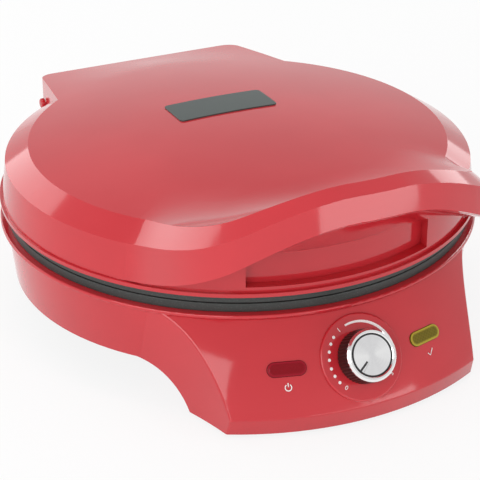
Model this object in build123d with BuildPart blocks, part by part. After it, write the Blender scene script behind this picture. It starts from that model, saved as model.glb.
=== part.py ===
"""Electric pizza maker: a round countertop cooker with a hinged lid.

Two cast cooking plates face each other. The lower one lies in a base with a flared front
foot that holds the dial and two lamps. The upper one hangs in a domed lid, whose front
sweeps up and out into a handle and whose tail covers the hinge.

Millimetres, +Z up, -Y is the front. The origin is on the table, under the plates' centre.
"""

import os
from math import asin, atan2, cos, degrees, radians, sin, sqrt, tan

from build123d import *

os.makedirs("parts", exist_ok=True)

# Cooking plates
plate_r = 165.0
gap_z = 79.0
plate_slit = 0.6
plate_band = 6.4
plate_t = 3.5
band_w = 3.0
plate_land = 13.0
dish_slope = 4.0
lower_dish_depth = 11.0
upper_dish_depth = 13.0

# Moulded shells
wall = 2.5
fit_gap = 0.3

# Base bowl
bowl_out = 1.0
bowl_taper = 4.5
bowl_floor_z = 29.5
lip_out = 5.0
lip_t = 3.0
ledge_w = 10.0

# Front foot and control panel
foot_z = 2.7
panel_top_out = 3.0
panel_mid_out = 23.5
panel_mid_z = 43.0
panel_edge_out = 38.2
panel_edge_z = 14.8
panel_edge_fillet = 2.0
foot_out = 35.0
foot_root_low = 56.0
foot_root_high = 50.0
foot_root_sink = 1.0
foot_corner_angle = 27.1
foot_crease_fillet = 2.0
arch_r = 49.3
arch_out = -65.0

# Rear block and legs
block_out = 41.0
block_half = 82.0
block_splay = 0.155
block_corner_r = 14.0
leg_w = 26.0
leg_d = 30.0
leg_floor_t = 3.0
pad_r = 9.0

# Lid shell
crease_in = 0.7
crease_up = 34.4
bevel_w = 16.6
bevel_h = 10.3
dome_h = 12.2
side_draft = 0.13
seam_up = 9.0

# Handle, which the lid's front edge sweeps into
handle_out = 40.0
handle_rise = 53.5
handle_bevel_w = 11.0
handle_bevel_h = 4.0
handle_face_h = 17.0
out_from = 24.7
out_to = 50.7
rise_from = 4.0
rise_to = 52.0
scoop_start_r = 105.0
pocket_half = 66.0
pocket_bottom_up = 12.5
pocket_top_up = 32.7
pocket_depth = 7.0
pocket_from = 22.0
skin_t = 2.4
seam_gap = 0.15

# Lid tail and hinge
tail_out = 23.0
tail_half = 82.0
tail_splay = 0.155
tail_corner_r = 12.0
tail_top_drop = 9.1
hinge_out = 7.0
hinge_up = 19.0
hinge_pin_r = 2.5
run_gap = 0.05
ear_x = 70.0
ear_w = 12.0
ear_r = 7.5
ear_post_t = 6.5
pin_head_r = 4.0
pin_head_t = 3.0
notch_up = 4.0

# Lid frame, the ring that closes the lid's underside
frame_out = 4.5
frame_in = 9.5

# Heating elements, reflectors and their fixings
tube_r = 3.25
tube_gap = 0.2
loop_r = 105.0
loop_open = 16.0
cold_pin_r = 2.0
cold_pin_h = 9.0
clip_count = 3
clip_len = 22.0
clip_w = 10.0
clip_wall = 1.4
reflector_r = 147.0
reflector_t = 0.8
reflector_drop = 12.0
screw_in = 6.5
plate_screw_count = 3
screw_r = 1.75
screw_head_r = 3.1
screw_head_t = 2.2
screw_hole_gap = 0.3
screw_bite = 2.5
lid_boss_r = 4.0
lid_screw_len = 14.0

# Floor screws and their bosses
boss_r = 5.5
boss_h = 18.0
floor_screw_len = 12.0

# Dial
dial_pad_r = 28.8
dial_pad_up = 0.4
dial_pad_fillet = 1.2
knob_r = 17.7
knob_h = 15.5
knob_gap = 0.8
knob_flutes = 48
flute_depth = 0.5
knob_draft = 2.0
knob_hollow_r = 12.5
knob_hollow_h = 10.0
knob_hub_r = 5.5
ring_t = 2.2
ring_edge = 1.3
disc_r = 13.6
disc_t = 1.4
disc_groove = 0.5
pointer_len = 8.0
pointer_w = 1.0
pointer_depth = 0.5
pointer_clock = 223.0
shaft_r = 3.0
bush_r = 5.0
bush_gap = 0.2
bush_out = 3.6
nut_af = 15.0
nut_t = 2.6
thermostat_w = 34.0
thermostat_h = 28.0
thermostat_d = 15.0
thermostat_back = 1.6

# Lamps
lamp_x = 50.4
lens_len = 26.0
lens_w = 10.0
lens_up = 0.8
lens_flange = 2.0
lens_flange_t = 1.4
lamp_r = 3.5
lamp_len = 17.0

# Wiring parts in the base
block_len = 42.0
terminal_w = 18.0
terminal_h = 15.0
terminal_bores = 3
terminal_bore_r = 2.4
gland_x = -52.0
gland_z = 49.0
gland_r = 7.0
gland_flange_r = 9.5
gland_flange_t = 2.5
gland_bore_r = 3.8
fuse_r = 4.5
fuse_len = 26.0

# Heights and radii that follow
lower_rim_top = gap_z - plate_slit / 2
upper_rim_low = gap_z + plate_slit / 2
base_rim_z = gap_z - plate_band
frame_low_z = gap_z + plate_band
frame_top_z = gap_z + seam_up
lip_low_z = base_rim_z - lip_t
lip_r = plate_r + lip_out
bowl_top_r = plate_r + bowl_out
bowl_bottom_r = bowl_top_r - bowl_taper
ledge_r = plate_r - ledge_w
dish_r = plate_r - plate_land
lower_dish_z = lower_rim_top - lower_dish_depth
upper_dish_z = upper_rim_low + upper_dish_depth
panel_mid_r = plate_r + panel_mid_out
panel_edge_r = plate_r + panel_edge_out
panel_top_r = plate_r + panel_top_out
foot_r = plate_r + foot_out
arch_y = plate_r + arch_out
foot_crease_x = sin(radians(foot_corner_angle)) * foot_r * 0.85
foot_crease_y = -(plate_r + panel_top_out) * 0.85
arch_z = bowl_floor_z - arch_r
block_y = plate_r + block_out
tail_y = plate_r + tail_out
hinge_y = plate_r + hinge_out
hinge_z = gap_z + hinge_up
crease_r = plate_r - crease_in
crease_z = gap_z + crease_up
dome_edge_r = crease_r - bevel_w
dome_edge_z = crease_z + bevel_h
frame_r = plate_r + frame_out
frame_in_r = plate_r - frame_in
pocket_r = plate_r + 2.0 - pocket_depth
brow_wall_r = plate_r + 2.0
floor_top_z = bowl_floor_z + wall
headroom = 130.0


def spot(radius, angle):
    """A plan point at a radius and an angle from the front, positive to the right."""
    return (radius * sin(radians(angle)), -radius * cos(radians(angle)))


def ease(u):
    u = min(max(u, 0.0), 1.0)
    return u * u * (3.0 - 2.0 * u)


def fade(angle, start, end):
    """One up to the start angle, zero past the end angle, smooth between."""
    return 1.0 - ease((abs(angle) - start) / (end - start))


def edge_r(angle):
    """Radius of the lid's upper crease."""
    return crease_r + handle_out * fade(angle, out_from, out_to)


def edge_z(angle):
    """Height of the lid's upper crease."""
    return crease_z + handle_rise * fade(angle, rise_from, rise_to)


def lift(angle, at_rim, at_handle):
    """A value that goes from the round part's to the handle's."""
    return at_rim + (at_handle - at_rim) * fade(angle, rise_from, rise_to)


def seam_z(angle):
    """Height of the lid shell's lower edge."""
    return edge_z(angle) - lift(angle, crease_up - seam_up, handle_face_h)


def seam_r(angle):
    """Radius of the lid shell's lower edge."""
    return edge_r(angle) + side_draft * (edge_z(angle) - seam_z(angle))


def dome_height(x, y):
    """The lid's top skin: a shallow dome that scoops up to the handle."""
    r = sqrt(x * x + y * y)
    angle = degrees(atan2(x, -y))
    top = dome_edge_z + dome_h * (1.0 - (r / dome_edge_r) ** 2)
    if y > 0 and r > dome_edge_r:
        start_y = sqrt(max(dome_edge_r**2 - x * x, 0.0))
        deck = dome_edge_z - tail_top_drop * (y - start_y) / (tail_y - start_y)
        top += (deck - top) * ease((y - 40.0) / 60.0)
    end_r = edge_r(angle) - lift(angle, bevel_w, handle_bevel_w)
    end_z = edge_z(angle) + lift(angle, bevel_h, handle_bevel_h)
    end_dome = dome_edge_z + dome_h * (1.0 - (end_r / dome_edge_r) ** 2)
    reach = max(r - scoop_start_r, 0.0) / (end_r - scoop_start_r)
    return top + (end_z - end_dome) * reach**2


def bevel_height(x, y):
    """The sloping band between the lid's two creases, and the handle's top."""
    r = sqrt(x * x + y * y)
    angle = degrees(atan2(x, -y))
    near = 100.0
    soft_r = r if r > near else (near + r * r / near) / 2.0
    cone = crease_z + (crease_r - soft_r) * bevel_h / bevel_w
    slope = lift(angle, bevel_h, handle_bevel_h) / lift(angle, bevel_w, handle_bevel_w)
    band = edge_z(angle) + (edge_r(angle) - r) * slope
    return cone + (band - cone) * ease((r - 40.0) / 80.0)


def brow_height(x, y):
    """The underside of the handle, from its front edge back to the finger pocket."""
    r = sqrt(x * x + y * y)
    angle = degrees(atan2(x, -y))
    pocket_z = gap_z + seam_up + (pocket_top_up - seam_up) * fade(angle, pocket_from, rise_to)
    slope = (seam_z(angle) - pocket_z) / (seam_r(angle) - pocket_r)
    brow = seam_z(angle) - (seam_r(angle) - r) * slope
    flat = gap_z + seam_up
    return flat + (brow - flat) * ease((r - 60.0) / 80.0)


def below(height, drop=0.0):
    """Everything under a height field, as a solid."""
    step = 9.0
    reach_x = plate_r + 25.0
    reach_front = plate_r + handle_out + 25.0
    reach_back = tail_y + 15.0
    count_x = int(2 * reach_x / step)
    count_y = int((reach_front + reach_back) / step)
    rows = []
    for i in range(count_x + 1):
        x = -reach_x + 2 * reach_x * i / count_x
        row = []
        for j in range(count_y + 1):
            y = -reach_front + (reach_front + reach_back) * j / count_y
            row.append((x, y, height(x, y) - drop))
        rows.append(row)
    skin = Face.make_surface_from_array_of_points(rows, tol=0.05, min_deg=3, max_deg=3)
    return Solid.extrude(skin, Vector(0, 0, -headroom))


def lid_outline(level, inset):
    """The lid's plan at a height: a round back and the swept handle in front."""
    points = []
    steps = 20
    for i in range(steps + 1):
        angle = -out_to + 2 * out_to * i / steps
        radius = edge_r(angle) + side_draft * (edge_z(angle) - level) - inset
        points.append(spot(radius, angle))
    start = (cos(radians(out_to)), -sin(radians(out_to)))
    end = (cos(radians(out_to)), sin(radians(out_to)))
    back = sqrt(points[0][0] ** 2 + points[0][1] ** 2)
    with BuildSketch(Plane.XY.offset(level)) as plan:
        with BuildLine():
            Spline(points, tangents=[start, end])
            ThreePointArc(points[-1], (0, back), points[0])
        make_face()
    return plan.sketch


def tail_plan(level, half, end_y, splay, corner_r, inset):
    """A block behind the round body that narrows towards the back."""
    front_y = 100.0
    front_half = half + splay * (end_y - front_y)
    with BuildSketch(Plane.XY.offset(level)) as plan:
        with BuildLine():
            Polyline(
                (-front_half + inset, front_y + inset),
                (front_half - inset, front_y + inset),
                (half - inset, end_y - inset),
                (-half + inset, end_y - inset),
                close=True,
            )
        make_face()
        rear = plan.vertices().group_by(Axis.Y)[-1]
        fillet(rear, max(corner_r - inset, 1.0))
    return plan.sketch


def lid_form(inset):
    """The lid's solid form, or with an inset the space inside its wall."""
    low = lid_outline(gap_z, inset)
    high = lid_outline(gap_z + headroom, inset)
    bevel = below(bevel_height, inset)
    dome = below(dome_height, inset)
    tail = tail_plan(gap_z, tail_half, tail_y, tail_splay, tail_corner_r, inset)
    with BuildPart() as form:
        loft([low.face(), high.face()], ruled=True)
        add(bevel, mode=Mode.INTERSECT)
        extrude(to_extrude=tail.face(), amount=headroom)
        add(dome, mode=Mode.INTERSECT)
    return form.part


def foot_plan(level, root_angle, inset):
    """The foot's plan at a height. Its sides run on from the bowl's wall out to the panel."""
    lean = bowl_taper / (lip_low_z - bowl_floor_z)
    root = spot(bowl_top_r - foot_root_sink - lean * (lip_low_z - level), root_angle)
    corner = spot(foot_r, foot_corner_angle)
    ahead = (-cos(radians(root_angle)), -sin(radians(root_angle)))
    with BuildSketch(Plane.XY.offset(level)) as plan:
        with BuildLine():
            side = TangentArc(root, corner, tangent=ahead)
            far = side @ 1 + (side % 1) * foot_out
            Line(corner, far)
            Line(far, (-far.X, far.Y))
            Line((-far.X, far.Y), (-corner[0], corner[1]))
            TangentArc((-root[0], root[1]), (-corner[0], corner[1]), tangent=(-ahead[0], ahead[1]))
            Polyline((-root[0], root[1]), (-root[0], 0), (root[0], 0), root)
        make_face()
        if inset > 0:
            offset(amount=-inset, kind=Kind.INTERSECTION)
    return plan.sketch


def foot_form(inset):
    """The front foot with its flared panel, or with an inset the space inside it."""
    low = foot_z - (1.0 if inset > 0 else 0.0)
    arch = arch_r + inset
    low_plan = foot_plan(low, foot_root_low, inset)
    high_plan = foot_plan(lip_low_z, foot_root_high, inset)
    with BuildPart() as form:
        with BuildSketch(Plane.XZ) as profile:
            with BuildLine():
                top = (panel_top_r - inset, lip_low_z)
                edge = (panel_edge_r - inset, panel_edge_z)
                toe = (foot_r - inset, low)
                ThreePointArc(top, (panel_mid_r - inset, panel_mid_z), edge)
                Polyline(edge, toe, (0, low), (0, lip_low_z), top)
            make_face()
            edge_vertex = profile.vertices().sort_by(Axis.X)[-1]
            fillet(edge_vertex, panel_edge_fillet)
        revolve(axis=Axis.Z)
        loft([low_plan.face(), high_plan.face()], ruled=True, mode=Mode.INTERSECT)
        with BuildSketch(Plane.YZ):
            with Locations((-arch_y, arch_z)):
                Circle(arch)
            with Locations((-arch_y, arch_z + arch)):
                Rectangle(2 * plate_r, 2 * plate_r, align=(Align.MIN, Align.MAX))
        extrude(amount=plate_r, both=True, mode=Mode.SUBTRACT)
        if inset == 0:
            middles = [(edge, edge @ 0.5) for edge in form.edges()]
            outer = [(edge, mid) for edge, mid in middles if abs(mid.X) > foot_crease_x]
            front = [(edge, mid) for edge, mid in outer if mid.Y < foot_crease_y]
            creases = [edge for edge, mid in front if panel_edge_z + 1 < mid.Z < lip_low_z - 5]
            fillet(creases, foot_crease_fillet)
    return form.part


def ring_spots(radius, angles):
    """Plan points round the plates' axis, at angles from the front."""
    return [spot(radius, angle) for angle in angles]


def annulus(outer, inner, low, high):
    """A plain ring round the plates' axis."""
    with BuildPart() as ring:
        with BuildSketch(Plane.XY.offset(low)):
            Circle(outer)
            Circle(inner, mode=Mode.SUBTRACT)
        extrude(amount=high - low)
    return ring.part


def posts(places, radius, low, high):
    """Upright round posts or holes at plan points."""
    with BuildPart() as group:
        with BuildSketch(Plane.XY.offset(low)):
            with Locations(*places):
                Circle(radius)
        extrude(amount=high - low)
    return group.part


def screws(places, seat_z, end_z):
    """Round-headed screws whose heads bear on a face, shanks pointing to an end height."""
    way = 1 if end_z > seat_z else -1
    with BuildPart() as group:
        with BuildSketch(Plane.XY.offset(seat_z)):
            with Locations(*places):
                Circle(screw_head_r)
        extrude(amount=-way * screw_head_t)
        outer = group.edges().filter_by(GeomType.CIRCLE).group_by(Axis.Z)
        fillet(outer[0] if way > 0 else outer[-1], screw_head_t * 0.4)
        with BuildSketch(Plane.XY.offset(seat_z)):
            with Locations(*places):
                Circle(screw_r)
        extrude(amount=end_z - seat_z)
    return group.part


def bowl_form(inset):
    """The base's round bowl, or with an inset the space inside it."""
    low = bowl_floor_z - (1.0 if inset > 0 else 0.0)
    with BuildPart() as form:
        with BuildSketch(Plane.XZ):
            with BuildLine():
                Polyline(
                    (0, low),
                    (bowl_bottom_r - inset, low),
                    (bowl_top_r - inset, lip_low_z),
                    (0, lip_low_z),
                    close=True,
                )
            make_face()
        revolve(axis=Axis.Z)
    return form.part


def leg_boxes(inset):
    """Plan of the two rear legs, as boxes over the block's outer corners."""
    with BuildSketch() as plan:
        with Locations((-leg_x, block_y - leg_d / 2), (leg_x, block_y - leg_d / 2)):
            Rectangle(leg_w - 2 * inset, leg_d - 2 * inset)
    return plan.sketch


def leg_form(inset):
    """The two rear legs, which carry the block's outer corners down to the table."""
    low = foot_z + (leg_floor_t if inset > 0 else 0.0)
    plan = tail_plan(low, block_half, block_y, block_splay, block_corner_r, inset)
    with BuildPart() as form:
        extrude(to_extrude=plan.face(), amount=floor_top_z - low)
        with BuildSketch(Plane.XY.offset(low)):
            add(leg_boxes(inset))
        extrude(amount=floor_top_z - low, mode=Mode.INTERSECT)
    return form.part


def panel_plane(angle):
    """A plane on the panel at mid height, facing out, at an angle from the front."""
    place = spot(panel_mid_r, angle)
    out = spot(cos(radians(panel_tilt)), angle)
    facing = (out[0], out[1], sin(radians(panel_tilt)))
    across = (cos(radians(angle)), sin(radians(angle)), 0)
    return Plane(origin=(place[0], place[1], panel_mid_z), x_dir=across, z_dir=facing)


# Places that follow
panel_tilt = degrees(atan2(panel_edge_r - panel_top_r, lip_low_z - panel_edge_z))
knob_plane = panel_plane(0)
knob_axis = Axis(knob_plane.origin, knob_plane.z_dir)
lamp_angle = degrees(asin(lamp_x / panel_mid_r))
leg_x = block_half - leg_w / 2 + block_splay * leg_d / 2
screw_hole_r = screw_r + screw_hole_gap
boss_ring_r = bowl_bottom_r - wall - boss_r + 0.5
floor_screw_spots = ring_spots(boss_ring_r, (-68.0, 68.0, -122.0, 122.0))
plate_screw_angles = [60.0 + 360.0 * i / plate_screw_count for i in range(plate_screw_count)]
plate_screw_spots = ring_spots(plate_r - screw_in, plate_screw_angles)
lid_screw_spots = ring_spots(plate_r - screw_in, (-83.0, 83.0, -125.0, 125.0))
front_pad_r = foot_r - wall - 1.6 * pad_r
front_pad_angle = foot_corner_angle - 5.0
front_pad_spots = ring_spots(front_pad_r, (-front_pad_angle, front_pad_angle))
rear_pad_spots = [(-leg_x, block_y - leg_d / 2), (leg_x, block_y - leg_d / 2)]
lens_back = wall + 0.8
thermostat_front = wall + thermostat_back
knob_base = dial_pad_up + knob_gap
knob_top = knob_base + knob_h
lower_back_z = lower_dish_z - plate_t
upper_back_z = upper_dish_z + plate_t

# Base housing: bowl, foot with the control panel, rear block with legs, hinge ears
base_bowl = bowl_form(0)
base_foot = foot_form(0)
base_legs = leg_form(0)
block_plan = tail_plan(bowl_floor_z, block_half, block_y, block_splay, block_corner_r, 0)
space_bowl = bowl_form(wall)
space_foot = foot_form(wall)
space_legs = leg_form(wall)
space_plan = tail_plan(bowl_floor_z - 1, block_half, block_y, block_splay, block_corner_r, wall)

with BuildPart() as arch_guard:
    with BuildSketch(Plane.YZ):
        with Locations((-arch_y, arch_z)):
            Circle(arch_r + wall)
        with Locations((-arch_y, arch_z)):
            Rectangle(4 * arch_r, 4 * arch_r, align=(Align.MIN, Align.CENTER), mode=Mode.SUBTRACT)
    extrude(amount=plate_r, both=True)

with BuildPart() as base_space:
    add(space_bowl)
    extrude(to_extrude=space_plan.face(), amount=lip_low_z - wall - bowl_floor_z + 1)
    add(arch_guard.part, mode=Mode.SUBTRACT)
    add(base_legs, mode=Mode.SUBTRACT)
    add(space_foot)
    add(space_legs)

with BuildPart() as dial_pad:
    with BuildSketch(knob_plane.offset(-wall)):
        Circle(dial_pad_r)
    extrude(amount=wall + dial_pad_up)
    fillet(dial_pad.faces().sort_by(knob_axis)[-1].edges(), dial_pad_fillet)

with BuildPart() as rim_lip:
    with BuildSketch(Plane.XZ) as lip_profile:
        with BuildLine():
            Polyline(
                (ledge_r, lip_low_z),
                (lip_r, lip_low_z),
                (lip_r, base_rim_z),
                (ledge_r, base_rim_z),
                close=True,
            )
        make_face()
        fillet(lip_profile.vertices().group_by(Axis.X)[-1], lip_t * 0.35)
    revolve(axis=Axis.Z)

floor_bosses = posts(floor_screw_spots, boss_r, floor_top_z, floor_top_z + boss_h)
floor_holes = posts(floor_screw_spots, screw_r, floor_top_z, floor_top_z + floor_screw_len)
ledge_holes = posts(plate_screw_spots, screw_hole_r, lip_low_z - 1, base_rim_z + 1)

with BuildPart() as base_housing:
    add(base_bowl)
    add(base_foot)
    extrude(to_extrude=block_plan.face(), amount=lip_low_z - bowl_floor_z)
    add(base_legs)
    add(base_space.part, mode=Mode.SUBTRACT)
    add(rim_lip.part)
    add(dial_pad.part)
    add(floor_bosses)
    add(floor_holes, mode=Mode.SUBTRACT)
    add(ledge_holes, mode=Mode.SUBTRACT)
    for side in (-1, 1):
        ear_start = Plane.YZ.offset(side * ear_x - ear_w / 2)
        with BuildSketch(ear_start):
            with Locations((hinge_y - ear_r, lip_low_z - wall / 2)):
                Rectangle(
                    ear_post_t,
                    hinge_z - lip_low_z + wall / 2,
                    align=(Align.MIN, Align.MIN),
                )
            with Locations((hinge_y, hinge_z)):
                Circle(ear_r)
        extrude(amount=ear_w)
        with BuildSketch(ear_start):
            with Locations((hinge_y, hinge_z)):
                Circle(hinge_pin_r + run_gap)
        extrude(amount=ear_w, mode=Mode.SUBTRACT)
        with BuildSketch(panel_plane(side * lamp_angle)):
            SlotOverall(lens_len, lens_w)
        extrude(amount=2 * wall, both=True, mode=Mode.SUBTRACT)
    with BuildSketch(knob_plane):
        Circle(bush_r + bush_gap)
    extrude(amount=3 * wall, both=True, mode=Mode.SUBTRACT)
    with BuildSketch(Plane.XZ.offset(-block_y)):
        with Locations((gland_x, gland_z)):
            Circle(gland_r)
    extrude(amount=2 * wall, both=True, mode=Mode.SUBTRACT)
base_housing.part.label = "base_housing"

# Floor of the bowl and block, screwed up into the housing
cover_inset = wall + fit_gap
foot_cover_back = arch_y + sqrt((arch_r + wall) ** 2 - (foot_z - arch_z) ** 2) + fit_gap
floor_plan = tail_plan(0, block_half, block_y, block_splay, block_corner_r, cover_inset)
with BuildPart() as bottom_cover:
    with BuildSketch(Plane.XY.offset(bowl_floor_z)):
        Circle(bowl_bottom_r - cover_inset)
        add(floor_plan)
        with Locations((0, -arch_y + fit_gap)):
            Rectangle(3 * plate_r, 3 * plate_r, align=(Align.CENTER, Align.MAX), mode=Mode.SUBTRACT)
        add(leg_boxes(-fit_gap), mode=Mode.SUBTRACT)
        with Locations(*floor_screw_spots):
            Circle(screw_hole_r, mode=Mode.SUBTRACT)
        for row in range(5):
            with Locations((0, 10.0 * row - 20.0)):
                SlotOverall(60.0, 4.0, mode=Mode.SUBTRACT)
    extrude(amount=wall)
bottom_cover.part.label = "bottom_cover"

foot_floor_plan = foot_plan(foot_z, foot_root_low, cover_inset)
with BuildPart() as foot_cover:
    extrude(to_extrude=foot_floor_plan.face(), amount=wall)
    with BuildSketch(Plane.XY.offset(foot_z)):
        Circle(foot_r - cover_inset)
        with Locations((0, -foot_cover_back)):
            Rectangle(3 * plate_r, 3 * plate_r, align=(Align.CENTER, Align.MIN), mode=Mode.SUBTRACT)
    extrude(amount=wall, mode=Mode.INTERSECT)
foot_cover.part.label = "foot_cover"


def plate_form(rim_z, way, dish_z, band_z):
    """A cast cooking plate: dish, land and the dark band round its rim."""
    land_z = rim_z + way * plate_t
    back_z = dish_z + way * plate_t
    bite_z = land_z - way * screw_bite
    holes = posts(plate_screw_spots, screw_r, min(land_z, bite_z), max(land_z, bite_z))
    with BuildPart() as plate:
        with BuildSketch(Plane.XZ):
            with BuildLine():
                Polyline(
                    (0, dish_z),
                    (dish_r - dish_slope, dish_z),
                    (dish_r, rim_z),
                    (plate_r, rim_z),
                    (plate_r, band_z),
                    (plate_r - band_w, band_z),
                    (plate_r - band_w, land_z),
                    (dish_r + plate_t, land_z),
                    (dish_r - dish_slope + plate_t / 2, back_z),
                    (0, back_z),
                    close=True,
                )
            make_face()
        revolve(axis=Axis.Z)
        fillet(plate.edges().filter_by(GeomType.CIRCLE).group_by(SortBy.RADIUS)[-1], 0.6)
        add(holes, mode=Mode.SUBTRACT)
    return plate.part


with BuildPart() as lower_plate:
    add(plate_form(lower_rim_top, -1, lower_dish_z, base_rim_z))
lower_plate.part.label = "lower_plate"

with BuildPart() as upper_plate:
    add(plate_form(upper_rim_low, 1, upper_dish_z, frame_low_z))
upper_plate.part.label = "upper_plate"


def element_form(back_z, way):
    """A tubular heating element: one loop, open at the back, with two terminal pins."""
    tube_z = back_z + way * (tube_gap + tube_r)
    start = 90.0 + loop_open / 2
    radial = Vector(cos(radians(start)), sin(radians(start)), 0)
    across = Plane(origin=(0, 0, tube_z), x_dir=radial, z_dir=radial.cross(Vector(0, 0, 1)))
    ends = ring_spots(loop_r, (180.0 - loop_open / 2, 180.0 + loop_open / 2))
    with BuildPart() as element:
        with BuildSketch(across):
            with Locations((loop_r, 0)):
                Circle(tube_r)
        revolve(axis=Axis.Z, revolution_arc=360.0 - loop_open)
        with Locations(*[(x, y, tube_z) for x, y in ends]):
            Sphere(tube_r)
        with BuildSketch(Plane.XY.offset(tube_z)):
            with Locations(*ends):
                Circle(tube_r)
        extrude(amount=way * (tube_r + 2.0))
        with BuildSketch(Plane.XY.offset(tube_z)):
            with Locations(*ends):
                Circle(cold_pin_r)
        extrude(amount=way * (tube_r + 2.0 + cold_pin_h))
    return element.part


def reflector_form(back_z, way):
    """A thin sheet pan behind the element, with holes for the terminals."""
    pan_z = back_z + way * reflector_drop
    ends = ring_spots(loop_r, (180.0 - loop_open / 2, 180.0 + loop_open / 2))
    with BuildPart() as pan:
        with BuildSketch(Plane.XZ):
            with BuildLine():
                Polyline(
                    (0, pan_z),
                    (reflector_r, pan_z),
                    (reflector_r, back_z + way * tube_gap),
                    (reflector_r - reflector_t, back_z + way * tube_gap),
                    (reflector_r - reflector_t, pan_z - way * reflector_t),
                    (0, pan_z - way * reflector_t),
                    close=True,
                )
            make_face()
        revolve(axis=Axis.Z)
        with BuildSketch(Plane.XY.offset(pan_z)):
            with Locations(*ends):
                Circle(cold_pin_r + 2.0)
        extrude(amount=2 * reflector_t, both=True, mode=Mode.SUBTRACT)
    return pan.part


def clip_form(back_z, way):
    """Saddle clips that hold the element against its plate."""
    tube_z = back_z + way * (tube_gap + tube_r)
    depth = tube_gap + 2 * tube_r + tube_gap + clip_wall
    saddles = []
    for i in range(clip_count):
        angle = 360.0 * i / clip_count
        place = spot(loop_r, angle)
        radial = Vector(*spot(1, angle), 0)
        side = Plane(origin=(place[0], place[1], tube_z), x_dir=radial, z_dir=radial.cross(Vector(0, 0, way)))
        with BuildPart() as saddle:
            with BuildSketch(side):
                with Locations((0, -tube_gap - tube_r + 0.1)):
                    Rectangle(clip_len, depth, align=(Align.CENTER, Align.MIN))
                Circle(tube_r + tube_gap, mode=Mode.SUBTRACT)
                with Locations((0, 0)):
                    Rectangle(
                        2 * (tube_r + tube_gap),
                        4 * tube_r,
                        align=(Align.CENTER, Align.MAX),
                        mode=Mode.SUBTRACT,
                    )
            extrude(amount=clip_w / 2, both=True)
        saddles.append(saddle.part)
    with BuildPart() as clips:
        add(saddles)
    return clips.part


with BuildPart() as lower_element:
    add(element_form(lower_back_z, -1))
lower_element.part.label = "lower_element"

with BuildPart() as upper_element:
    add(element_form(upper_back_z, 1))
upper_element.part.label = "upper_element"

with BuildPart() as lower_reflector:
    add(reflector_form(lower_back_z, -1))
lower_reflector.part.label = "lower_reflector"

with BuildPart() as upper_reflector:
    add(reflector_form(upper_back_z, 1))
upper_reflector.part.label = "upper_reflector"

with BuildPart() as lower_clips:
    add(clip_form(lower_back_z, -1))
lower_clips.part.label = "lower_clips"

with BuildPart() as upper_clips:
    add(clip_form(upper_back_z, 1))
upper_clips.part.label = "upper_clips"

# Screws that hold the plates and the floor
with BuildPart() as lower_plate_screws:
    add(screws(plate_screw_spots, lip_low_z, lower_rim_top - plate_t + screw_bite))
lower_plate_screws.part.label = "lower_plate_screws"

with BuildPart() as upper_plate_screws:
    add(screws(plate_screw_spots, frame_top_z, upper_rim_low + plate_t - screw_bite))
upper_plate_screws.part.label = "upper_plate_screws"

with BuildPart() as floor_screws:
    add(screws(floor_screw_spots, bowl_floor_z, floor_top_z + floor_screw_len))
floor_screws.part.label = "floor_screws"

# Rubber pads under the foot and the legs
with BuildPart() as front_pads:
    add(posts(front_pad_spots, pad_r, 0, foot_z))
    fillet(front_pads.edges().group_by(Axis.Z)[0], foot_z * 0.3)
front_pads.part.label = "front_pads"

with BuildPart() as rear_pads:
    add(posts(rear_pad_spots, pad_r, 0, foot_z))
    fillet(rear_pads.edges().group_by(Axis.Z)[0], foot_z * 0.3)
rear_pads.part.label = "rear_pads"

# Lid shell: dome, swept handle and the tail over the hinge
lid_solid = lid_form(0)
lid_space = lid_form(wall)
seam_cut = below(brow_height, -seam_gap)
lid_bosses = posts(lid_screw_spots, lid_boss_r, frame_top_z + fit_gap, gap_z + headroom)
lid_boss_holes = posts(lid_screw_spots, screw_r, frame_low_z, frame_low_z + lid_screw_len)

with BuildPart() as boss_trim:
    add(lid_bosses)
    add(lid_solid, mode=Mode.INTERSECT)

with BuildPart() as lid_cover:
    add(lid_solid)
    add(lid_space, mode=Mode.SUBTRACT)
    add(boss_trim.part)
    add(seam_cut, mode=Mode.SUBTRACT)
    add(lid_boss_holes, mode=Mode.SUBTRACT)
    wall_half = tail_half + tail_splay * (tail_y - hinge_y)
    for side in (-1, 1):
        boss_in = side * (ear_x + ear_w / 2 + 1.0)
        boss_out = side * (wall_half - wall / 2)
        with BuildSketch(Plane.YZ.offset(boss_in)):
            with Locations((hinge_y, hinge_z)):
                Circle(hinge_pin_r + wall)
        extrude(amount=boss_out - boss_in)
        with BuildSketch(Plane.YZ.offset(boss_in)):
            with Locations((hinge_y, hinge_z)):
                Circle(hinge_pin_r)
        extrude(amount=side * 4 * ear_r, mode=Mode.SUBTRACT)
        with BuildSketch(Plane.XY.offset(gap_z)):
            with Locations((side * ear_x, tail_y)):
                Rectangle(ear_w + 4.0, 4 * wall)
        extrude(amount=hinge_up + notch_up, mode=Mode.SUBTRACT)
lid_cover.part.label = "lid_cover"

# Lid frame: the ring under the shell, the handle's underside and the finger pocket
frame_fill = lid_form(wall + fit_gap)
brow_over = below(brow_height, -skin_t)
brow_under = below(brow_height)

with BuildPart() as brow_void:
    add(brow_under)
    with BuildSketch(Plane.XY.offset(gap_z - 1)):
        Circle(brow_wall_r)
    extrude(amount=headroom, mode=Mode.SUBTRACT)

with BuildPart() as pocket_void:
    add(brow_under)
    with BuildSketch(Plane.XY.offset(gap_z + pocket_bottom_up)):
        Rectangle(2 * pocket_half, 2 * lip_r, align=(Align.CENTER, Align.MAX))
        Circle(pocket_r, mode=Mode.SUBTRACT)
    extrude(amount=headroom, mode=Mode.INTERSECT)

with BuildSketch(Plane.XY.offset(frame_top_z - 0.5)) as brow_zone:
    with BuildLine():
        Polyline((0, 0), spot(3 * plate_r, rise_to + 1), spot(3 * plate_r, -rise_to - 1), close=True)
    make_face()
    Circle(brow_wall_r - skin_t, mode=Mode.SUBTRACT)

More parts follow.
